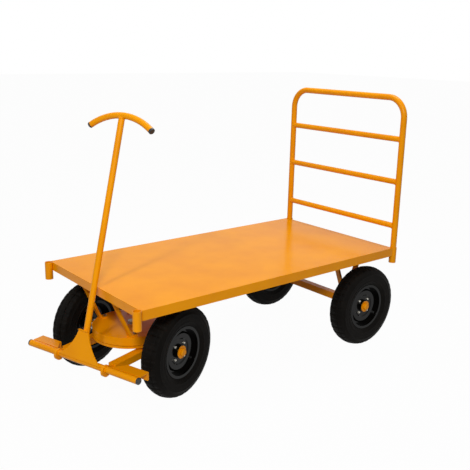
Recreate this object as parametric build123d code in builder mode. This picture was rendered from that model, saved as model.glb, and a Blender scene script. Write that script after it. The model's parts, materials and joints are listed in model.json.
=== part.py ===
from build123d import *
import os
from math import asin, cos, degrees, radians, sin

# Platform trolley with turntable steering, in millimetres.
# +X is forward, +Y is left, +Z is up, and the origin is on the floor below the deck's centre.

# deck
socket_span = 1500
socket_track = 750
deck_height = 480
sheet_thickness = 3
rail_height = 38
rail_leg = 36
rail_wall = 4
rail_overhang = 10
end_setback = 12
bearer_width = 30
bearer_wall = 3
bearer_spacing = 260
notch_clearance = 1.5

# stake sockets and the end hoop
hoop_radius = 15
hoop_wall = 2.5
socket_wall = 2
socket_clearance = 0.5
socket_length = 75
socket_ring_thickness = 3
socket_ring_bore = 10
hoop_height = 735
hoop_bend = 95
rung_radius = 14
rung_wall = 2.5
rung_heights = [109, 330, 539]
cope_clearance = 0.2
foot_gap = 0.3

# wheels
tyre_radius = 200
tyre_half_width = 46
tyre_wall = 10
bead_radius = 103
bead_half_width = 30
bead_height = 10
rim_sheet = 3
rim_lip_drop = 1
dish_depth = 8
spindle_radius = 10
bearing_radius = 23.5
bearing_width = 14
hub_half_length = 24
hub_wall = 6.5
hub_flange_radius = 50
hub_flange_thickness = 5
running_clearance = 0.06
face_gap = 0.3
cap_radius = 17
cap_flange_radius = 27
cap_height = 14.5
cap_wall = 2
washer_radius = 14
washer_thickness = 2
nut_flats = 22
nut_height = 8.5

# axles
rear_axle_x = -576
rear_track = 681
front_track = 509
axle_bar = 35
axle_shoulder_radius = 13
shoulder_length = 12
rear_strut_y = 232
rear_strut_spread = 96

# turntable
steer_x = 550
rest_steer = 16.8
turntable_radius = 168
turntable_top = 262
upper_plate = 8
upper_rim_depth = 35
rim_wall = 8
turntable_gap = 3
lower_plate = 10
ball_radius = 8
ball_circle = 122
ball_count = 24
ball_clearance = 0.3
track_width = 24
track_gap = 5
front_bar_width = 40
front_bar_height = 32
kingpin_radius = 10
kingpin_flats = 30
kingpin_head = 13
kingpin_nut_height = 15
kingpin_tail = 4
strut_thickness = 12
strut_width = 25
strut_foot = 36
strut_foot_thickness = 6
strut_inset = 43
strut_slope_run = 76
top_foot = 28

# drawbar
cross_tube_x = 299
cross_tube_z = 194.5
cross_tube_radius = 14
cross_tube_wall = 3
cross_tube_half = 308
tube_cap = 8
arm_y = 132
arm_width = 40
arm_height = 30
arm_wall = 3
arm_base_z = 175
lug_plate = 6
lug_thickness = 12
lug_eye_radius = 24
lug_eye_drop = 6
lug_stand_off = 37
lean = 15.4
stem_radius = 13
stem_wall = 2.5
stem_length = 1002
handle_half_span = 168
handle_drop = 53
handle_cap = 10
yoke_thickness = 5
yoke_half_width = 116
yoke_height = 128
yoke_waist = (56, 62)
yoke_top_half = 25
lip_depth = 4
lip_rise = 5
brake_reach = 64
brake_plate = 5
brake_inner = 152
brake_taper = 35
shoe_thickness = 8
shoe_height = 34
brake_rise = 7

# sizes that follow
corner_x = socket_span / 2
corner_y = socket_track / 2
socket_bore = hoop_radius + socket_clearance
socket_radius = socket_bore + socket_wall
socket_base = deck_height - socket_length
sheet_underside = deck_height - sheet_thickness
rail_base = sheet_underside - rail_height
rail_y = corner_y + rail_overhang
rail_end = corner_x - socket_radius
end_x = corner_x - end_setback
end_base = rail_base + rail_wall
end_half = corner_y - socket_radius + 3
hoop_top = deck_height + hoop_height
wheel_z = tyre_radius
lower_top = turntable_top - upper_rim_depth - turntable_gap
lower_base = lower_top - lower_plate
ball_z = lower_top + ball_radius + 1.5
strut_y = turntable_radius - strut_inset
strut_foot_x = steer_x + turntable_radius / 2
strut_top_x = strut_foot_x + strut_slope_run
rear_strut_top_x = 2 * steer_x - strut_top_x
lean_back = (-sin(radians(lean)), 0, cos(radians(lean)))
lean_face = (cos(radians(lean)), 0, sin(radians(lean)))
handle_radius = (handle_half_span**2 + handle_drop**2) / (2 * handle_drop)
handle_angle = degrees(asin(handle_half_span / handle_radius)) - degrees(handle_cap / handle_radius)
steer_place = Location((steer_x, 0, 0), (0, 0, rest_steer))

os.makedirs("parts", exist_ok=True)


def save(piece, node):
    """Label a finished piece and write its STEP file."""
    piece.part.label = node
    export_step(piece.part, f"parts/{node}.step")


def steered(x=0, y=0, z=0, z_dir=(0, 0, 1), x_dir=(1, 0, 0)):
    """A plane placed from the steering axis, turned with the front wheels."""
    return Plane(steer_place * Plane(origin=(x, y, z), x_dir=x_dir, z_dir=z_dir).location)


def tube_piece(plane, radius, wall, length):
    """A round tube that starts on the plane and runs along its normal."""
    with BuildPart() as piece:
        with BuildSketch(plane):
            Circle(radius)
            Circle(radius - wall, mode=Mode.SUBTRACT)
        extrude(amount=length)
    return piece


# The deck sheet lies on the frame and is notched round the four stake sockets.
with BuildPart() as deck_sheet:
    with BuildSketch(Plane.XY.offset(sheet_underside)):
        Rectangle(2 * end_x, 2 * rail_y)
        with GridLocations(socket_span, socket_track, 2, 2):
            Circle(socket_radius + notch_clearance, mode=Mode.SUBTRACT)
    extrude(amount=sheet_thickness)
save(deck_sheet, "deck_sheet")

# The side rails are angles with the lower leg turned in, between the sockets.
for side, name in [(1, "left"), (-1, "right")]:
    with BuildPart() as side_rail:
        with BuildSketch(Plane.XY.offset(rail_base)):
            with Locations((0, side * (rail_y - rail_leg / 2))):
                Rectangle(2 * rail_end, rail_leg)
        extrude(amount=rail_wall)
        with BuildSketch(Plane.XY.offset(rail_base)):
            with Locations((0, side * (rail_y - rail_wall / 2))):
                Rectangle(2 * rail_end, rail_wall)
        extrude(amount=rail_height)
    save(side_rail, f"side_rail_{name}")

# The end members are shallower angles that sit on the side rails' lower legs.
for end, name in [(1, "front"), (-1, "rear")]:
    with BuildPart() as end_member:
        with BuildSketch(Plane.XY.offset(end_base)):
            with Locations((end * (end_x - rail_leg / 2), 0)):
                Rectangle(rail_leg, 2 * end_half)
        extrude(amount=rail_wall)
        with BuildSketch(Plane.XY.offset(end_base)):
            with Locations((end * (end_x - rail_wall / 2), 0)):
                Rectangle(rail_wall, 2 * end_half)
        extrude(amount=sheet_underside - end_base)
    save(end_member, f"end_member_{name}")

# Box-section bearers cross the frame above the struts and between them.
axle_bearers = [rear_axle_x - rear_strut_spread, rear_axle_x + rear_strut_spread]
open_span = rear_strut_top_x - axle_bearers[1]
bay_count = round(open_span / bearer_spacing)
middle_bearers = [axle_bearers[1] + open_span * i / bay_count for i in range(1, bay_count)]
bearer_rise = sheet_underside - end_base
with BuildPart() as deck_bearers:
    for x in axle_bearers + middle_bearers + [rear_strut_top_x]:
        with BuildSketch(Plane(origin=(x, 0, end_base + bearer_rise / 2), x_dir=(1, 0, 0), z_dir=(0, 1, 0))):
            Rectangle(bearer_width, bearer_rise)
            Rectangle(bearer_width - 2 * bearer_wall, bearer_rise - 2 * bearer_wall, mode=Mode.SUBTRACT)
        extrude(amount=rail_y - rail_wall, both=True)
save(deck_bearers, "deck_bearers")

# A stake socket stands at each corner, with a ring welded under it as the stake's seat.
for end, end_name in [(1, "front"), (-1, "rear")]:
    for side, side_name in [(1, "left"), (-1, "right")]:
        socket_foot = Plane(origin=(end * corner_x, side * corner_y, socket_base))
        socket = tube_piece(socket_foot, socket_radius, socket_wall, socket_length)
        save(socket, f"stake_socket_{end_name}_{side_name}")

with BuildPart() as socket_rings:
    with BuildSketch(Plane.XY.offset(socket_base)):
        with GridLocations(socket_span, socket_track, 2, 2):
            Circle(socket_radius)
            Circle(socket_ring_bore, mode=Mode.SUBTRACT)
    extrude(amount=-socket_ring_thickness)
save(socket_rings, "socket_rings")

# The end hoop is one bent tube whose feet stand in the rear sockets.
with BuildPart() as end_hoop:
    with BuildLine(Plane(origin=(-corner_x, 0, 0), x_dir=(0, 1, 0), z_dir=(1, 0, 0))) as hoop_path:
        FilletPolyline(
            (-corner_y, socket_base + foot_gap), (-corner_y, hoop_top), (corner_y, hoop_top),
            (corner_y, socket_base + foot_gap), radius=hoop_bend,
        )
    with BuildSketch(Plane(origin=(-corner_x, -corner_y, socket_base + foot_gap))):
        Circle(hoop_radius)
        Circle(hoop_radius - hoop_wall, mode=Mode.SUBTRACT)
    sweep(path=hoop_path.wires()[0])
save(end_hoop, "end_hoop")

# Three rungs are coped to the hoop's posts.
with BuildPart() as hoop_rungs:
    for height in rung_heights:
        with BuildSketch(Plane(origin=(-corner_x, 0, deck_height + height), z_dir=(0, 1, 0))):
            Circle(rung_radius)
            Circle(rung_radius - rung_wall, mode=Mode.SUBTRACT)
        extrude(amount=corner_y, both=True)
    with BuildSketch(Plane.XY.offset(deck_height)):
        with Locations((-corner_x, corner_y), (-corner_x, -corner_y)):
            Circle(hoop_radius + cope_clearance)
    extrude(amount=hoop_height, mode=Mode.SUBTRACT)
save(hoop_rungs, "hoop_rungs")


def spindle_ends(beam_end, hub_centre, place):
    """Both turned spindles of an axle: a shoulder against the hub, then the bearing journal."""
    for side in (1, -1):
        shoulder = hub_centre - hub_half_length - face_gap
        tip = hub_centre + hub_half_length + face_gap + washer_thickness + nut_height
        with BuildSketch(place(side * beam_end, side)) as collar:
            Circle(axle_shoulder_radius)
        extrude(collar.sketch, amount=shoulder - beam_end)
        with BuildSketch(place(side * shoulder, side)) as journal:
            Circle(spindle_radius)
        extrude(journal.sketch, amount=tip - shoulder)


def axle_nuts(hub_centre, place):
    """The washer and nut that hold each wheel on its spindle."""
    with BuildPart() as nuts:
        for side in (1, -1):
            seat = hub_centre + hub_half_length + face_gap
            with BuildSketch(place(side * seat, side)):
                Circle(washer_radius)
                Circle(spindle_radius, mode=Mode.SUBTRACT)
            extrude(amount=washer_thickness)
            with BuildSketch(place(side * (seat + washer_thickness), side)):
                RegularPolygon(nut_flats / 2, 6, major_radius=False)
                Circle(spindle_radius, mode=Mode.SUBTRACT)
            extrude(amount=nut_height)
    return nuts


def rear_place(y, side):
    return Plane(origin=(rear_axle_x, y, wheel_z), x_dir=(1, 0, 0), z_dir=(0, side, 0))


def front_place(y, side):
    return steered(0, y, wheel_z, z_dir=(0, side, 0))


# The rear axle is a square bar with turned ends.
rear_beam_end = rear_track / 2 - hub_half_length - face_gap - shoulder_length
with BuildPart() as rear_axle:
    with BuildSketch(rear_place(0, 1)):
        Rectangle(axle_bar, axle_bar)
    extrude(amount=rear_beam_end, both=True)
    spindle_ends(rear_beam_end, rear_track / 2, rear_place)
save(rear_axle, "rear_axle")
save(axle_nuts(rear_track / 2, rear_place), "rear_axle_nuts")


def strut(y, foot_x, foot_z, foot_centre, top_x, top_z):
    """A sloping flat bar with a welded foot at each end, standing at the given y."""
    half = strut_thickness / 2
    with BuildSketch(Plane.XZ.offset(-y)) as profile:
        with Locations((foot_centre, foot_z + strut_foot_thickness / 2)):
            Rectangle(strut_foot, strut_foot_thickness)
        with Locations((top_x, top_z - strut_foot_thickness / 2)):
            Rectangle(top_foot, strut_foot_thickness)
        with BuildLine():
            Polyline(
                (foot_x - half, foot_z + half), (foot_x + half, foot_z + half),
                (top_x + half, top_z - half), (top_x - half, top_z - half), close=True,
            )
        make_face()
    extrude(profile.sketch, amount=strut_width / 2, both=True)


# Two struts each side tie the rear axle to the bearers above it.
for side, name in [(1, "left"), (-1, "right")]:
    with BuildPart() as rear_struts:
        for direction, top_x in [(-1, axle_bearers[0]), (1, axle_bearers[1])]:
            foot_x = rear_axle_x + direction * (axle_bar / 4 + strut_thickness / 4)
            strut(side * rear_strut_y, foot_x, wheel_z + axle_bar / 2, rear_axle_x, top_x, end_base)
    save(rear_struts, f"rear_struts_{name}")

# Struts fore and aft carry the turntable's upper plate below the deck.
for end, name, top_x in [(1, "front", strut_top_x), (-1, "rear", rear_strut_top_x)]:
    foot_x = steer_x + end * (strut_foot_x - steer_x)
    foot_centre = foot_x - end * (strut_foot - strut_thickness) / 2
    with BuildPart() as turntable_struts:
        for y in (strut_y, -strut_y):
            strut(y, foot_x, turntable_top, foot_centre, top_x, end_base)
    save(turntable_struts, f"turntable_struts_{name}")

# The upper race is a dished plate with a ball track inside its rim.
turntable_section = steered(z_dir=(0, -1, 0))
steer_axis = Axis((steer_x, 0, 0), (0, 0, 1))
track_inner = ball_circle - track_width / 2
track_outer = ball_circle + track_width / 2
upper_rim_base = turntable_top - upper_rim_depth
upper_plate_base = turntable_top - upper_plate
upper_track_base = ball_z + track_gap / 2
lower_track_top = ball_z - track_gap / 2
with BuildPart() as turntable_upper:
    with BuildSketch(turntable_section):
        with BuildLine():
            Polyline(
                (kingpin_radius, turntable_top), (turntable_radius, turntable_top),
                (turntable_radius, upper_rim_base), (turntable_radius - rim_wall, upper_rim_base),
                (turntable_radius - rim_wall, upper_plate_base), (track_outer, upper_plate_base),
                (track_outer, upper_track_base), (track_inner, upper_track_base),
                (track_inner, upper_plate_base), (kingpin_radius, upper_plate_base), close=True,
            )
        make_face()
        with Locations((ball_circle, ball_z)):
            Circle(ball_radius + ball_clearance, mode=Mode.SUBTRACT)
    revolve(axis=steer_axis)
save(turntable_upper, "turntable_upper")

# The lower race turns with the front axle.
pin_bore = kingpin_radius + running_clearance
with BuildPart() as turntable_lower:
    with BuildSketch(turntable_section):
        with BuildLine():
            Polyline(
                (pin_bore, lower_base), (turntable_radius, lower_base), (turntable_radius, lower_top),
                (track_outer, lower_top), (track_outer, lower_track_top), (track_inner, lower_track_top),
                (track_inner, lower_top), (pin_bore, lower_top), close=True,
            )
        make_face()
        with Locations((ball_circle, ball_z)):
            Circle(ball_radius + ball_clearance, mode=Mode.SUBTRACT)
    revolve(axis=steer_axis)
save(turntable_lower, "turntable_lower")

with BuildPart() as turntable_balls:
    with Locations((steer_x, 0, ball_z)):
        with PolarLocations(ball_circle, ball_count):
            Sphere(ball_radius)
save(turntable_balls, "turntable_balls")

# The front axle is a flat bar with turned ends, pivoting on the kingpin.
front_bar_base = lower_base - front_bar_height
front_beam_end = front_track / 2 - hub_half_length - face_gap - shoulder_length
with BuildPart() as front_axle:
    with BuildSketch(steered(z=front_bar_base)):
        Rectangle(front_bar_width, 2 * front_beam_end)
        Circle(pin_bore, mode=Mode.SUBTRACT)
    extrude(amount=front_bar_height)
    spindle_ends(front_beam_end, front_track / 2, front_place)
save(front_axle, "front_axle")
save(axle_nuts(front_track / 2, front_place), "front_axle_nuts")

# The kingpin drops through both plates and the axle, and its nut runs clear below.
kingpin_nut_top = front_bar_base - face_gap
kingpin_end = kingpin_nut_top - kingpin_nut_height - kingpin_tail
with BuildPart() as kingpin:
    with BuildSketch(Plane.XY.offset(turntable_top)):
        with Locations((steer_x, 0)):
            RegularPolygon(kingpin_flats / 2, 6, major_radius=False)
    extrude(amount=kingpin_head)
    with BuildSketch(Plane.XY.offset(kingpin_end)):
        with Locations((steer_x, 0)):
            Circle(kingpin_radius)
    extrude(amount=turntable_top - kingpin_end)
save(kingpin, "kingpin")

with BuildPart() as kingpin_nut:
    with BuildSketch(Plane.XY.offset(kingpin_nut_top)):
        with Locations((steer_x, 0)):
            RegularPolygon(kingpin_flats / 2, 6, major_radius=False)
            Circle(kingpin_radius, mode=Mode.SUBTRACT)
    extrude(amount=-kingpin_nut_height)
save(kingpin_nut, "kingpin_nut")

# Each steering arm is a box tube from the axle to a lug that carries the drawbar's cross tube.
lug_base_x = cross_tube_x - lug_stand_off
arm_start = front_bar_width / 2
arm_mid_z = arm_base_z + arm_height / 2
arm_length = lug_base_x - lug_plate - arm_start
for side, name in [(1, "left"), (-1, "right")]:
    with BuildPart() as steering_arm:
        with BuildSketch(steered(arm_start, side * arm_y, arm_mid_z, (1, 0, 0), (0, 1, 0))):
            Rectangle(arm_width, arm_height)
            Rectangle(arm_width - 2 * arm_wall, arm_height - 2 * arm_wall, mode=Mode.SUBTRACT)
        extrude(amount=arm_length)
        with BuildSketch(steered(lug_base_x - lug_plate, side * arm_y, arm_mid_z, (1, 0, 0), (0, 1, 0))):
            Rectangle(arm_width, arm_height)
        extrude(amount=lug_plate)
        with BuildSketch(steered(cross_tube_x, side * arm_y, cross_tube_z, (0, -1, 0))):
            with Locations((-lug_stand_off / 2, -lug_eye_drop / 2)):
                Rectangle(lug_stand_off, arm_height - 2 * arm_wall)
            with Locations((0, -lug_eye_drop)):
                Circle(lug_eye_radius)
            Circle(cross_tube_radius + running_clearance, mode=Mode.SUBTRACT)
        extrude(amount=lug_thickness / 2, both=True)
    save(steering_arm, f"steering_arm_{name}")

# The cross tube turns in the two lugs and is plugged at both ends.
tube_half = cross_tube_half - tube_cap
cross_tube_end = steered(cross_tube_x, -tube_half, cross_tube_z, (0, 1, 0))
save(tube_piece(cross_tube_end, cross_tube_radius, cross_tube_wall, 2 * tube_half), "cross_tube")
for side, name in [(1, "left"), (-1, "right")]:
    with BuildPart() as cross_tube_cap:
        with BuildSketch(steered(cross_tube_x, side * tube_half, cross_tube_z, (0, side, 0))):
            Circle(cross_tube_radius)
        extrude(amount=tube_cap)
        chamfer(cross_tube_cap.faces().sort_by(Axis((0, 0, 0), front_place(0, side).z_dir))[-1].edges(), 2)
        with BuildSketch(steered(cross_tube_x, side * tube_half, cross_tube_z, (0, side, 0))):
            Circle(cross_tube_radius - cross_tube_wall - cope_clearance)
        extrude(amount=-2 * tube_cap)
    save(cross_tube_cap, f"cross_tube_cap_{name}")

# The drawbar stem leans back from the cross tube to the grip.
yoke_face = steered(cross_tube_x, 0, cross_tube_z, lean_face, (0, 1, 0))
stem_foot = steered(cross_tube_x, 0, cross_tube_z, lean_back, (0, 1, 0))
stem_top = yoke_face.from_local_coords((0, stem_length, 0))
grip_seat = Plane(origin=stem_top, x_dir=yoke_face.z_dir, z_dir=yoke_face.x_dir)
with BuildPart() as drawbar_stem:
    with BuildSketch(stem_foot):
        Circle(stem_radius)
        Circle(stem_radius - stem_wall, mode=Mode.SUBTRACT)
    extrude(amount=stem_length)
    with BuildSketch(steered(cross_tube_x, 0, cross_tube_z, (0, 1, 0))):
        Circle(cross_tube_radius + cope_clearance)
    extrude(amount=2 * cross_tube_radius, both=True, mode=Mode.SUBTRACT)
    with BuildSketch(grip_seat):
        Circle(stem_radius + 2 * cope_clearance)
    extrude(amount=2 * stem_radius, both=True, mode=Mode.SUBTRACT)
save(drawbar_stem, "drawbar_stem")

# The grip is a shallow bow of the same tube, with a plug at each end.
bow_centre = yoke_face.from_local_coords((0, stem_length - handle_radius, 0))


def bow_plane(angle, side):
    """The grip's cross-section at an angle from its crown, facing outward along the bow."""
    point = yoke_face.from_local_coords(
        (handle_radius * sin(radians(angle)), stem_length + handle_radius * (cos(radians(angle)) - 1), 0)
    )
    along = yoke_face.x_dir * cos(radians(angle)) - yoke_face.y_dir * sin(radians(angle))
    return Plane(origin=point, x_dir=yoke_face.z_dir, z_dir=along * side)


with BuildPart() as drawbar_grip:
    with BuildSketch(bow_plane(-handle_angle, 1)):
        Circle(stem_radius)
        Circle(stem_radius - stem_wall, mode=Mode.SUBTRACT)
    revolve(axis=Axis(bow_centre, yoke_face.z_dir * -1), revolution_arc=2 * handle_angle)
save(drawbar_grip, "drawbar_grip")

for side, name in [(1, "left"), (-1, "right")]:
    with BuildPart() as grip_cap:
        with BuildSketch(bow_plane(side * handle_angle, side)):
            Circle(stem_radius)
        extrude(amount=handle_cap)
        chamfer(grip_cap.faces().sort_by(Axis((0, 0, 0), bow_plane(side * handle_angle, side).z_dir))[-1].edges(), 2)
        with BuildSketch(bow_plane(side * handle_angle, side)):
            Circle(stem_radius - stem_wall - 2 * cope_clearance)
        extrude(amount=-handle_cap)
    save(grip_cap, f"grip_cap_{name}")

# A shaped plate across the stem's front braces it to the cross tube, with a lip along its top.
plate_back = stem_radius + cope_clearance
plate_foot = (cross_tube_radius**2 - plate_back**2) ** 0.5 + cope_clearance
with BuildPart() as yoke_plate:
    with BuildSketch(yoke_face.offset(plate_back)):
        with BuildLine():
            Polyline((-yoke_half_width, plate_foot), (yoke_half_width, plate_foot))
            ThreePointArc(
                (yoke_half_width, plate_foot), (yoke_waist[0], yoke_waist[1]), (yoke_top_half, yoke_height)
            )
            Polyline((yoke_top_half, yoke_height), (-yoke_top_half, yoke_height))
            ThreePointArc(
                (-yoke_top_half, yoke_height), (-yoke_waist[0], yoke_waist[1]), (-yoke_half_width, plate_foot)
            )
        make_face()
    extrude(amount=yoke_thickness)
    with BuildSketch(yoke_face.offset(plate_back)):
        with Locations((0, yoke_height - lip_depth / 2)):
            Rectangle(2 * yoke_top_half, lip_depth)
    extrude(amount=yoke_thickness + lip_rise)
save(yoke_plate, "yoke_plate")

# Behind each end of the cross tube a tapered plate carries a shoe that faces the tyre.
plate_front = cross_tube_x - (cross_tube_radius**2 - brake_rise**2) ** 0.5 - cope_clearance
brake_top = cross_tube_z + brake_rise + brake_plate
plate_rear = cross_tube_x - brake_reach + shoe_thickness
for side, name in [(1, "left"), (-1, "right")]:
    with BuildPart() as brake_plate_piece:
        with BuildSketch(steered(z=cross_tube_z + brake_rise)):
            with BuildLine():
                Polyline(
                    (plate_front, side * brake_inner), (plate_front, side * tube_half),
                    (plate_rear, side * tube_half), (plate_rear, side * (brake_inner + brake_taper)), close=True,
                )
            make_face()
        extrude(amount=brake_plate)
    save(brake_plate_piece, f"brake_plate_{name}")
    with BuildPart() as brake_shoe:
        with BuildSketch(steered(z=brake_top - shoe_height)):
            with Locations((plate_rear - shoe_thickness / 2, side * (brake_inner + brake_taper + tube_half) / 2)):
                Rectangle(shoe_thickness, tube_half - brake_inner - brake_taper)
        extrude(amount=shoe_height)
    save(brake_shoe, f"brake_shoe_{name}")


def turned(plane, outline):
    """A solid turned about the plane's second axis from (radius, outward distance) points."""
    with BuildPart() as piece:
        with BuildSketch(plane):
            with BuildLine():
                Polyline(*outline, close=True)
            make_face()
        revolve(axis=Axis(plane.origin, plane.y_dir))
    return piece


def tyre(plane):
    """A pneumatic tyre's case: rounded tread, bulged walls and two beads."""
    shoulder = tyre_radius - tyre_wall
    belly = (bead_radius + shoulder) / 2 + 3
    bead_top = bead_radius + bead_height
    crown_half = tyre_half_width - 9
    with BuildPart() as piece:
        with BuildSketch(plane):
            with BuildLine():
                ThreePointArc((shoulder, -crown_half), (tyre_radius, 0), (shoulder, crown_half))
                ThreePointArc((shoulder, crown_half), (belly, tyre_half_width), (bead_top, bead_half_width))
                Polyline(
                    (bead_top, bead_half_width), (bead_radius, bead_half_width),
                    (bead_radius, bead_half_width - tyre_wall),
                )
                ThreePointArc(
                    (bead_radius, bead_half_width - tyre_wall), (belly, tyre_half_width - tyre_wall),
                    (shoulder - tyre_wall, crown_half - tyre_wall),
                )
                ThreePointArc(
                    (shoulder - tyre_wall, crown_half - tyre_wall), (shoulder, 0),
                    (shoulder - tyre_wall, tyre_wall - crown_half),
                )
                ThreePointArc(
                    (shoulder - tyre_wall, tyre_wall - crown_half), (belly, tyre_wall - tyre_half_width),
                    (bead_radius, tyre_wall - bead_half_width),
                )
                Polyline(
                    (bead_radius, tyre_wall - bead_half_width), (bead_radius, -bead_half_width),
                    (bead_top, -bead_half_width),
                )
                ThreePointArc((bead_top, -bead_half_width), (belly, -tyre_half_width), (shoulder, -crown_half))
            make_face()
        revolve(axis=Axis(plane.origin, plane.y_dir))
    return piece


hub_radius = bearing_radius + hub_wall
disc_bore = hub_radius + cope_clearance
disc_back = hub_flange_thickness + rim_sheet
barrel = bead_radius - rim_sheet
lip = bead_radius + bead_height - rim_lip_drop
lip_out = bead_half_width + rim_sheet
well = disc_back + dish_depth / 2
rim_outline = [
    (bead_radius, -bead_half_width), (lip, -bead_half_width), (lip, -lip_out), (barrel, -lip_out),
    (barrel, disc_back - rim_sheet), (barrel - 14, disc_back - rim_sheet), (barrel - 22, well),
    (hub_flange_radius + 8, well), (hub_flange_radius + 2, disc_back), (disc_bore, disc_back),
    (disc_bore, disc_back + rim_sheet), (hub_flange_radius + 2, disc_back + rim_sheet),
    (hub_flange_radius + 8, well + rim_sheet), (barrel - 22, well + rim_sheet), (barrel - 14, disc_back),
    (barrel, disc_back), (barrel, lip_out), (lip, lip_out), (lip, bead_half_width), (bead_radius, bead_half_width),
]
bearing_seat = hub_half_length - bearing_width
hub_outline = [
    (bearing_radius, -hub_half_length), (hub_radius, -hub_half_length),
    (hub_radius, disc_back - hub_flange_thickness), (hub_flange_radius, disc_back - hub_flange_thickness),
    (hub_flange_radius, disc_back), (hub_radius, disc_back), (hub_radius, hub_half_length),
    (bearing_radius, hub_half_length), (bearing_radius, bearing_seat), (bearing_radius - 5, bearing_seat),
    (bearing_radius - 5, -bearing_seat), (bearing_radius, -bearing_seat),
]
cap_top = hub_half_length + cap_height
cap_outline = [
    (cap_radius - cap_wall, hub_half_length), (cap_flange_radius, hub_half_length),
    (cap_flange_radius, hub_half_length + cap_wall), (cap_radius, hub_half_length + cap_wall),
    (cap_radius, cap_top - 4), (cap_radius - 5, cap_top), (0, cap_top), (0, cap_top - cap_wall),
    (cap_radius - 6, cap_top - cap_wall), (cap_radius - cap_wall, cap_top - 5),
]
bearing_bore = spindle_radius + running_clearance
race_step = 3

# Each wheel: tyre, pressed rim, hub, two bearings and a dust cap.
wheel_places = {
    "front_left": steered(0, front_track / 2, wheel_z, (0, 0, 1)),
    "front_right": steered(0, -front_track / 2, wheel_z, (0, 0, 1), (-1, 0, 0)),
    "rear_left": Plane(origin=(rear_axle_x, rear_track / 2, wheel_z)),
    "rear_right": Plane(origin=(rear_axle_x, -rear_track / 2, wheel_z), x_dir=(-1, 0, 0)),
}
for name, place in wheel_places.items():
    save(tyre(place), f"tyre_{name}")
    save(turned(place, rim_outline), f"rim_{name}")
    save(turned(place, hub_outline), f"hub_{name}")
    save(turned(place, cap_outline), f"hub_cap_{name}")
    with BuildPart() as bearings:
        for side in (1, -1):
            outer_face = side * hub_half_length
            inner_face = side * bearing_seat
            with BuildSketch(place):
                with BuildLine():
                    Polyline(
                        (bearing_bore, outer_face), (bearing_bore + race_step, outer_face),
                        (bearing_bore + race_step, outer_face - side),
                        (bearing_radius - race_step, outer_face - side),
                        (bearing_radius - race_step, outer_face), (bearing_radius, outer_face),
                        (bearing_radius, inner_face), (bearing_bore, inner_face), close=True,
                    )
                make_face()
        revolve(axis=Axis(place.origin, place.y_dir))
    save(bearings, f"bearings_{name}")
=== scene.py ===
import bmesh
import bpy
import json
from math import cos, pi, radians, sin
from mathutils import Matrix, Vector


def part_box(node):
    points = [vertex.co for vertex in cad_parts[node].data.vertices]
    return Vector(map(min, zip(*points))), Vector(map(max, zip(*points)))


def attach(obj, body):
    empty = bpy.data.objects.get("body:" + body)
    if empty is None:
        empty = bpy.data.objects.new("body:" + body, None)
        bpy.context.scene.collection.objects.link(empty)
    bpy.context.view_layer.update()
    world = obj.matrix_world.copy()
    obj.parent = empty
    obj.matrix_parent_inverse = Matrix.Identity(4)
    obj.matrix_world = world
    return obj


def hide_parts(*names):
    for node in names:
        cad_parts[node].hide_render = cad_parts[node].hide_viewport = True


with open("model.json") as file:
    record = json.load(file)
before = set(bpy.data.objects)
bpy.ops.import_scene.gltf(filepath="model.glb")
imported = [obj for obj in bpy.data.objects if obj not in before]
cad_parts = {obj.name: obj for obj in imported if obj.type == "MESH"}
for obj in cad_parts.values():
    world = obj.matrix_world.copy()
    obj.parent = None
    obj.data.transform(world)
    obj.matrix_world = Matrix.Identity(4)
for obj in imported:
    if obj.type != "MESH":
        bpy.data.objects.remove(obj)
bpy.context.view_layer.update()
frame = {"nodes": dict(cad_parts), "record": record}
nodes = frame["nodes"]

# Camera: 1.4 m above the floor, off the trolley's front left corner, with a 54 mm lens. It
# looks slightly down and is rolled by about a degree.
VIEW_AZIMUTH = radians(50.6)
VIEW_ELEVATION = radians(14.99)
VIEW_ROLL = radians(1.235)
VIEW_DISTANCE = 3.3209
LOOK_AT = Vector((0, 0, 0.575))
LENS_MM = 53.77
FRAMING_SHIFT = 0.0093
CLIP_END = 200
UPWARD = Vector((0, 0, 1))


def axes_at(point, x, y, z):
    """A matrix at a point, with its axes along three unit vectors."""
    return Matrix.Translation(point) @ Matrix((x, y, z)).transposed().to_4x4()


out = Vector((
    cos(VIEW_ELEVATION) * cos(VIEW_AZIMUTH),
    cos(VIEW_ELEVATION) * sin(VIEW_AZIMUTH),
    sin(VIEW_ELEVATION),
))
level = (-out).cross(UPWARD).normalized()
upright = level.cross(-out)
right = cos(VIEW_ROLL) * level + sin(VIEW_ROLL) * upright
up = -sin(VIEW_ROLL) * level + cos(VIEW_ROLL) * upright
camera = bpy.data.objects.new("camera", bpy.data.cameras.new("camera"))
bpy.context.collection.objects.link(camera)
camera.matrix_world = axes_at(LOOK_AT + VIEW_DISTANCE * out, right, up, out)
camera.data.lens = LENS_MM
camera.data.shift_x = FRAMING_SHIFT
camera.data.clip_end = CLIP_END
bpy.context.scene.camera = camera
bpy.context.scene.view_settings.view_transform = "Standard"

# Studio: a white paper floor, an even sky and three square lamps, so that the gloss paint
# carries broad, soft highlights. The floor and sky look white where they are seen or
# mirrored, and give the trolley much less light than that.
FLOOR_SIZE = 60
PAPER = "#B4B4B4"
PAPER_GLOW = 0.975
SKY_LIGHT = 0.18
WHITE = (1, 1, 1, 1)
LAMP_AIM = Vector((0, 0, 0.5))


def linear(colour):
    """An sRGB hex colour as linear RGBA."""
    channels = [int(colour[i:i + 2], 16) / 255 for i in (1, 3, 5)]
    return [c / 12.92 if c <= 0.04045 else ((c + 0.055) / 1.055) ** 2.4 for c in channels] + [1]


def add(tree, kind, settings=None, **links):
    """Add a node, set its properties, and set or link its sockets, by name or as _number."""
    node = tree.nodes.new(kind)
    for key, value in (settings or {}).items():
        setattr(node, key, value)
    for key, value in links.items():
        socket = node.inputs[int(key[1:])] if key[0] == "_" else node.inputs[key.replace("_", " ")]
        if isinstance(value, bpy.types.NodeSocket):
            tree.links.new(value, socket)
        else:
            socket.default_value = value
    return node


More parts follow.
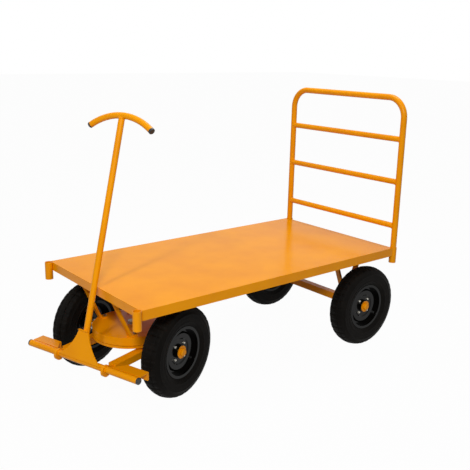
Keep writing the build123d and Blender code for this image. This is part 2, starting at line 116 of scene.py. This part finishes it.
def new_material(name):
    """A material whose tree holds only its output node, with that tree and that node."""
    made = bpy.data.materials.new(name)
    made.use_nodes = True
    made.node_tree.nodes.clear()
    return made, made.node_tree, made.node_tree.nodes.new("ShaderNodeOutputMaterial")


def seen_or_mirrored(tree):
    """A socket that is 1 on camera, glossy and transmission rays, and 0 on the rest."""
    rays = add(tree, "ShaderNodeLightPath")
    mirrored = add(
        tree, "ShaderNodeMath", {"operation": "MAXIMUM"},
        _0=rays.outputs["Is Glossy Ray"], _1=rays.outputs["Is Transmission Ray"],
    )
    either = add(
        tree, "ShaderNodeMath", {"operation": "MAXIMUM"},
        _0=rays.outputs["Is Camera Ray"], _1=mirrored.outputs[0],
    )
    return either.outputs[0]


paper, tree, output = new_material("white_paper")
diffuse = add(tree, "ShaderNodeBsdfDiffuse", Color=linear(PAPER))
glow = add(tree, "ShaderNodeEmission", Color=WHITE, Strength=1.0)
share = add(tree, "ShaderNodeMath", {"operation": "MULTIPLY"}, _0=seen_or_mirrored(tree), _1=PAPER_GLOW)
blend = add(tree, "ShaderNodeMixShader", _0=share.outputs[0], _1=diffuse.outputs[0], _2=glow.outputs[0])
tree.links.new(blend.outputs[0], output.inputs["Surface"])
bpy.ops.mesh.primitive_plane_add(size=FLOOR_SIZE)
floor = bpy.context.object
floor.name = "floor"
floor.data.materials.append(paper)

world = bpy.data.worlds.new("studio")
bpy.context.scene.world = world
world.use_nodes = True
tree = world.node_tree
tree.nodes.clear()
lift = add(
    tree, "ShaderNodeMath", {"operation": "MULTIPLY_ADD"},
    _0=seen_or_mirrored(tree), _1=1 - SKY_LIGHT, _2=SKY_LIGHT,
)
sky = add(tree, "ShaderNodeBackground", Color=WHITE, Strength=lift.outputs[0])
tree.links.new(sky.outputs[0], add(tree, "ShaderNodeOutputWorld").inputs["Surface"])


def soft_box(name, place, size, power):
    """A square area lamp aimed at the deck."""
    lamp = bpy.data.lights.new(name, "AREA")
    lamp.size = size
    lamp.energy = power
    holder = bpy.data.objects.new(name, lamp)
    holder.location = place
    holder.rotation_euler = (LAMP_AIM - Vector(place)).to_track_quat("-Z", "Y").to_euler()
    bpy.context.collection.objects.link(holder)


soft_box("key_light", place=(3.2, 3.8, 3.4), size=0.8, power=150)
soft_box("top_light", place=(-0.9, -0.2, 4.0), size=2.0, power=80)
soft_box("spark_light", place=(2.6, 1.0, 3.0), size=0.25, power=25)

# Frame, hoop, turntable, axles and drawbar: steel in yellow enamel, stoved on. The film is
# slightly orange-peeled, which softens its highlights, and its colour drifts a little where
# it is thick or dusty.
YELLOW = "#F29B00"
YELLOW_DEEP = "#E88E00"
PEEL_MM = 3.5
DRIFT_MM = 160
DRIFT_FROM = 0.2
DRIFT_TO = 0.65
SMOOTHER = 0.05
ROUGHER = 0.08


def enamel(name, light, dark, roughness, sheen, wave_mm, wave_depth):
    """Gloss paint with orange peel, a slow colour drift and the sheet's own waves."""
    made, tree, output = new_material(name)
    place = add(tree, "ShaderNodeTexCoord").outputs["Object"]
    drift = add(tree, "ShaderNodeTexNoise", Vector=place, Scale=1000 / DRIFT_MM, Detail=4.0)
    peel = add(tree, "ShaderNodeTexNoise", Vector=place, Scale=1000 / PEEL_MM, Detail=1.0)
    waves = add(tree, "ShaderNodeTexNoise", Vector=place, Scale=1000 / wave_mm, Detail=2.0)
    tone = add(tree, "ShaderNodeValToRGB", Fac=drift.outputs["Fac"])
    tone.color_ramp.elements[0].position = DRIFT_FROM
    tone.color_ramp.elements[0].color = linear(dark)
    tone.color_ramp.elements[1].position = DRIFT_TO
    tone.color_ramp.elements[1].color = linear(light)
    rough = add(
        tree, "ShaderNodeMapRange", Value=drift.outputs["Fac"],
        To_Min=roughness - SMOOTHER, To_Max=roughness + ROUGHER,
    )
    sheet_bump = add(
        tree, "ShaderNodeBump", Height=waves.outputs["Fac"], Strength=0.35, Distance=wave_depth
    )
    peel_bump = add(
        tree, "ShaderNodeBump", Height=peel.outputs["Fac"], Strength=0.08, Distance=0.0004,
        Normal=sheet_bump.outputs["Normal"],
    )
    paint = add(
        tree, "ShaderNodeBsdfPrincipled", Base_Color=tone.outputs["Color"],
        Roughness=rough.outputs["Result"], IOR=1.5, Specular_IOR_Level=sheen,
        Normal=peel_bump.outputs["Normal"],
    )
    tree.links.new(paint.outputs[0], output.inputs["Surface"])
    return made


def finish(node_names, material):
    """Put a finish on CAD nodes."""
    for name in node_names:
        for slot in nodes[name].material_slots:
            slot.material = material


def slot_nodes(slot_name):
    """The names of the CAD nodes in one of the record's material slots."""
    return [part["node"] for part in frame["record"]["subparts"] if part["material_slot"] == slot_name]


frame_enamel = enamel(
    "yellow_enamel", YELLOW, YELLOW_DEEP, roughness=0.3, sheen=0.12, wave_mm=90, wave_depth=0.0006
)
finish(slot_nodes("yellow_enamel"), frame_enamel)

# Deck sheet: 3 mm steel laid on the frame, in the same enamel. So broad a sheet is slightly
# wavy, and its gloss is uneven.
deck_enamel = enamel(
    "yellow_enamel_deck", YELLOW, YELLOW_DEEP, roughness=0.2, sheen=0.05, wave_mm=220, wave_depth=0.002
)
finish(["deck_sheet"], deck_enamel)

# Rims and hubs: pressed steel rims, and hubs with a flange for them, in black gloss enamel. The
# paint is smooth and nearly black, and dust lightens it in patches.
RIM_BLACK = "#060504"
RIM_BLACK_DUST = "#0B0907"
WHEELS = ("front_left", "front_right", "rear_left", "rear_right")
rim_enamel = enamel(
    "black_enamel", RIM_BLACK_DUST, RIM_BLACK, roughness=0.12, sheen=0.14, wave_mm=60, wave_depth=0.0004
)
finish([f"rim_{wheel}" for wheel in WHEELS] + [f"hub_{wheel}" for wheel in WHEELS], rim_enamel)

# Tyres: carbon-filled rubber, moulded and matt. The skin's grain is drawn coarser than the real
# one, so that it shows, and dust greys it in patches. The tread is three ribs cut by cross
# slots, and each wall has a bead line and two moulded rings.
RUBBER = "#0A0806"
RUBBER_DUST = "#14110D"
GRAIN_MM = 2.5
DUST_MM = 55
DUST_FROM = 0.45
DUST_TO = 0.8
rubber, tree, output = new_material("moulded_rubber")
place = add(tree, "ShaderNodeTexCoord").outputs["Object"]
grain = add(tree, "ShaderNodeTexNoise", Vector=place, Scale=1000 / GRAIN_MM, Detail=3.0)
dust = add(tree, "ShaderNodeTexNoise", Vector=place, Scale=1000 / DUST_MM, Detail=5.0)
tone = add(tree, "ShaderNodeValToRGB", Fac=dust.outputs["Fac"])
tone.color_ramp.elements[0].position = DUST_FROM
tone.color_ramp.elements[0].color = linear(RUBBER)
tone.color_ramp.elements[1].position = DUST_TO
tone.color_ramp.elements[1].color = linear(RUBBER_DUST)
grain_bump = add(tree, "ShaderNodeBump", Height=grain.outputs["Fac"], Strength=0.25, Distance=0.0004)
skin = add(
    tree, "ShaderNodeBsdfPrincipled", Base_Color=tone.outputs["Color"],
    Roughness=0.65, IOR=1.5, Specular_IOR_Level=0.06, Normal=grain_bump.outputs["Normal"],
)
tree.links.new(skin.outputs[0], output.inputs["Surface"])

# Half of the case's outline in millimetres, from the bead to the middle of the tread, as
# (radius, distance from the middle plane, depth of a cross slot there).
HALF_CASE = [
    (103, 20, 0), (103, 29.5, 0), (112.5, 29.5, 0), (116, 34, 0), (124, 39, 0), (130, 41.2, 0),
    (131, 42.6, 0), (134, 43.1, 0), (135, 42.6, 0), (145, 44.8, 0), (156, 44.9, 0), (163, 43.9, 0),
    (164, 44.6, 0), (167, 43.9, 0), (168, 42.6, 0), (180, 39.6, 0), (187, 37.2, 0), (189.5, 35.6, 1.6),
    (192.4, 31, 2.0), (194.5, 25, 2.0), (196.2, 20.5, 3.0), (192.6, 19.5, 0), (193.2, 15.5, 0),
    (197.6, 14.5, 3.0), (199.1, 7, 3.0), (199.6, 0, 3.0),
]
CASE = HALF_CASE + [(radius, -offset, depth) for radius, offset, depth in reversed(HALF_CASE[:-1])]
TYRE_STEPS = 216
SLOT_EVERY = 6
SLOT_STEPS = 2


def joint(name):
    """A joint of the record, by name."""
    return next(j for j in frame["record"]["behaviour"]["joints"] if j["name"] == name)


def wheel_matrix(wheel):
    """A matrix at the wheel's centre, with Z along its axle and outward."""
    spin = joint(f"spin_{wheel}")
    outward = 1 if wheel.endswith("left") else -1
    axle = Vector(spin["axis"]).normalized() * outward
    across = UPWARD.cross(axle).normalized()
    return axes_at(Vector(spin["pos_m"]), across, axle.cross(across), axle)


def from_bmesh(name, mesh, material, body):
    """Turn a bmesh into a piece with a finish, riding on a body."""
    data = bpy.data.meshes.new(name)
    mesh.normal_update()
    mesh.to_mesh(data)
    mesh.free()
    data.materials.append(material)
    piece = bpy.data.objects.new(name, data)
    bpy.context.collection.objects.link(piece)
    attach(piece, body)
    return piece


for wheel in WHEELS:
    mesh = bmesh.new()
    rings = []
    for step in range(TYRE_STEPS):
        angle = 2 * pi * step / TYRE_STEPS
        cut = step % SLOT_EVERY < SLOT_STEPS
        ring = []
        for radius, offset, depth in CASE:
            reach = (radius - (depth if cut else 0)) / 1000
            ring.append(mesh.verts.new((reach * cos(angle), reach * sin(angle), offset / 1000)))
        rings.append(ring)
    for step in range(TYRE_STEPS):
        here = rings[step]
        after = rings[(step + 1) % TYRE_STEPS]
        for i in range(len(CASE)):
            j = (i + 1) % len(CASE)
            face = mesh.faces.new((here[i], after[i], after[j], here[j]))
            face.smooth = CASE[i][2] == 0
    bmesh.ops.recalc_face_normals(mesh, faces=mesh.faces)
    mesh.transform(wheel_matrix(wheel))
    case = from_bmesh(f"tyre_case_{wheel}", mesh, rubber, f"wheel_{wheel}")
    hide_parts(f"tyre_{wheel}")

# Bearings, kingpin, nuts and bolts: turned or rolled steel, plated with zinc. The plating has
# a soft shine and a faint mottle, drawn coarser than the real one so that it shows.
ZINC = "#B9B6AC"
ZINC_DULL = "#8E8B82"
MOTTLE_MM = 1.5
zinc, tree, output = new_material("zinc_plate")
place = add(tree, "ShaderNodeTexCoord").outputs["Object"]
mottle = add(tree, "ShaderNodeTexNoise", Vector=place, Scale=1000 / MOTTLE_MM, Detail=2.0)
tone = add(tree, "ShaderNodeValToRGB", Fac=mottle.outputs["Fac"])
tone.color_ramp.elements[0].color = linear(ZINC_DULL)
tone.color_ramp.elements[1].color = linear(ZINC)
mottle_bump = add(tree, "ShaderNodeBump", Height=mottle.outputs["Fac"], Strength=0.1, Distance=0.0002)
plate = add(
    tree, "ShaderNodeBsdfPrincipled", Base_Color=tone.outputs["Color"], Metallic=1.0, Roughness=0.34,
    Normal=mottle_bump.outputs["Normal"],
)
tree.links.new(plate.outputs[0], output.inputs["Surface"])
finish(slot_nodes("zinc_steel"), zinc)

# Rim bolts: four zinc-plated hexagon bolts hold each rim to its hub's flange. Only their heads
# show, and each head has a wider flange under it.
RIM_BOLT_COUNT = 4
RIM_BOLT_CIRCLE = 0.041
RIM_FACE = 0.011
RIM_BOLT_FLATS = 0.010
RIM_BOLT_HEIGHT = 0.006
# From the flange's underside to the top, as shares of the distance across flats and the height.
HEAD_PROFILE = [(0.66, 0), (0.66, 0.16), (0.577, 0.16), (0.577, 0.82), (0.46, 1), (0.2, 1)]


def hex_bolt(name, place, flats, height, body):
    """A hexagon head with a chamfered top on a six-sided flange, standing on a matrix's Z."""
    mesh = bmesh.new()
    rows = []
    for reach, rise in HEAD_PROFILE:
        corners = [(flats * reach * cos(pi * k / 3), flats * reach * sin(pi * k / 3)) for k in range(6)]
        rows.append([mesh.verts.new((x, y, height * rise)) for x, y in corners])
    for low, high in zip(rows, rows[1:]):
        for k in range(6):
            mesh.faces.new((low[k], low[(k + 1) % 6], high[(k + 1) % 6], high[k]))
    mesh.faces.new(list(reversed(rows[0])))
    mesh.faces.new(rows[-1])
    mesh.transform(place)
    from_bmesh(name, mesh, zinc, body)


for wheel in WHEELS:
    for k in range(RIM_BOLT_COUNT):
        turn = (2 * k + 1) * pi / RIM_BOLT_COUNT
        spot = Matrix.Translation((RIM_BOLT_CIRCLE * cos(turn), RIM_BOLT_CIRCLE * sin(turn), RIM_FACE))
        place = wheel_matrix(wheel) @ spot
        hex_bolt(f"rim_bolt_{wheel}_{k}", place, RIM_BOLT_FLATS, RIM_BOLT_HEIGHT, f"wheel_{wheel}")

# Strut bolts: one plated hexagon head on the foot of each of the turntable's four struts,
# which holds the foot down on the upper race.
STRUT_BOLT_FLATS = 0.013
STRUT_BOLT_HEIGHT = 0.008
STRUT_BOLT_REACH = 0.060
STRUT_HALF_WIDTH = 0.0125
FOOT_THICKNESS = 0.006
SIDES = (("left", 1), ("right", -1))
steer_x = joint("steering")["pos_m"][0]
for end, forward in (("front", 1), ("rear", -1)):
    low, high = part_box(f"turntable_struts_{end}")
    for side, leftward in SIDES:
        bolt_y = leftward * (high[1] - STRUT_HALF_WIDTH)
        spot = Matrix.Translation((steer_x + forward * STRUT_BOLT_REACH, bolt_y, low[2] + FOOT_THICKNESS))
        hex_bolt(f"strut_bolt_{end}_{side}", spot, STRUT_BOLT_FLATS, STRUT_BOLT_HEIGHT, "chassis")

# End plugs: black low-density polythene, moulded and pressed into the tube ends. The skin is
# satin, with a fine texture that is drawn coarser than the real one so that it shows.
PLUG_BLACK = "#121212"
TEXTURE_MM = 1.2
plug, tree, output = new_material("polythene_plug")
place = add(tree, "ShaderNodeTexCoord").outputs["Object"]
texture = add(tree, "ShaderNodeTexNoise", Vector=place, Scale=1000 / TEXTURE_MM, Detail=2.0)
texture_bump = add(tree, "ShaderNodeBump", Height=texture.outputs["Fac"], Strength=0.2, Distance=0.0002)
moulded = add(
    tree, "ShaderNodeBsdfPrincipled", Base_Color=linear(PLUG_BLACK), Roughness=0.42, IOR=1.51,
    Normal=texture_bump.outputs["Normal"],
)
tree.links.new(moulded.outputs[0], output.inputs["Surface"])
finish(slot_nodes("black_plastic"), plug)

# Hoop welds: each rung is fillet-welded all round where it meets a post, and painted over, so
# that the bead shows as a rippled ring in the same yellow.
RUNG_HEIGHTS = (0.109, 0.330, 0.539)
RUNG_RADIUS = 0.014
POST_INNER = 0.360
WELD_BEAD = 0.0022
WELD_STEPS = 104
WELD_SIDES = 8
WELD_RIPPLES = 26
WELD_SWELL = 0.16


def weld_ring(name, place, radius, bead, body):
    """A rippled fillet weld round a tube, in the plane across a matrix's Z."""
    mesh = bmesh.new()
    loops = []
    for i in range(WELD_STEPS):
        angle = 2 * pi * i / WELD_STEPS
        size = bead * (1 + WELD_SWELL * sin(WELD_RIPPLES * angle))
        loop = []
        for k in range(WELD_SIDES):
            roll = 2 * pi * k / WELD_SIDES
            reach = radius + size * cos(roll)
            loop.append(mesh.verts.new((reach * cos(angle), reach * sin(angle), size * sin(roll))))
        loops.append(loop)
    for i in range(WELD_STEPS):
        here = loops[i]
        after = loops[(i + 1) % WELD_STEPS]
        for k in range(WELD_SIDES):
            turned = (k + 1) % WELD_SIDES
            face = mesh.faces.new((here[k], after[k], after[turned], here[turned]))
            face.smooth = True
    bmesh.ops.recalc_face_normals(mesh, faces=mesh.faces)
    mesh.transform(place)
    from_bmesh(name, mesh, frame_enamel, body)


def facing(point, direction):
    """A matrix at a point, with Z along a direction."""
    return Matrix.Translation(point) @ Vector(direction).to_track_quat("Z", "Y").to_matrix().to_4x4()


low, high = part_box("hoop_rungs")
rung_x = (low[0] + high[0]) / 2
deck_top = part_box("deck_sheet")[1][2]
for i, rise in enumerate(RUNG_HEIGHTS):
    for side, leftward in SIDES:
        spot = facing((rung_x, leftward * POST_INNER, deck_top + rise), (0, 1, 0))
        weld_ring(f"rung_weld_{i}_{side}", spot, RUNG_RADIUS, WELD_BEAD, "hoop")

# Drawbar welds: the stem is welded all round, at its top to the bowed grip and at its foot to
# the cross tube, and painted over.
LEAN = radians(15.4)
STEM_RADIUS = 0.013
STEM_LENGTH = 1.002
GRIP_WELD_DROP = 0.0115
FOOT_WELD_RISE = 0.0125
FOOT_BEAD = 0.0026
pivot = joint("drawbar_pivot")
across = Vector(pivot["axis"]).normalized()
ahead = across.cross(UPWARD)
stem_way = (-sin(LEAN) * ahead + cos(LEAN) * UPWARD).normalized()
foot = Vector(pivot["pos_m"])
grip_spot = facing(foot + stem_way * (STEM_LENGTH - GRIP_WELD_DROP), stem_way)
foot_spot = facing(foot + stem_way * FOOT_WELD_RISE, stem_way)
weld_ring("grip_weld", grip_spot, STEM_RADIUS, WELD_BEAD, "drawbar")
weld_ring("stem_foot_weld", foot_spot, STEM_RADIUS, FOOT_BEAD, "drawbar")
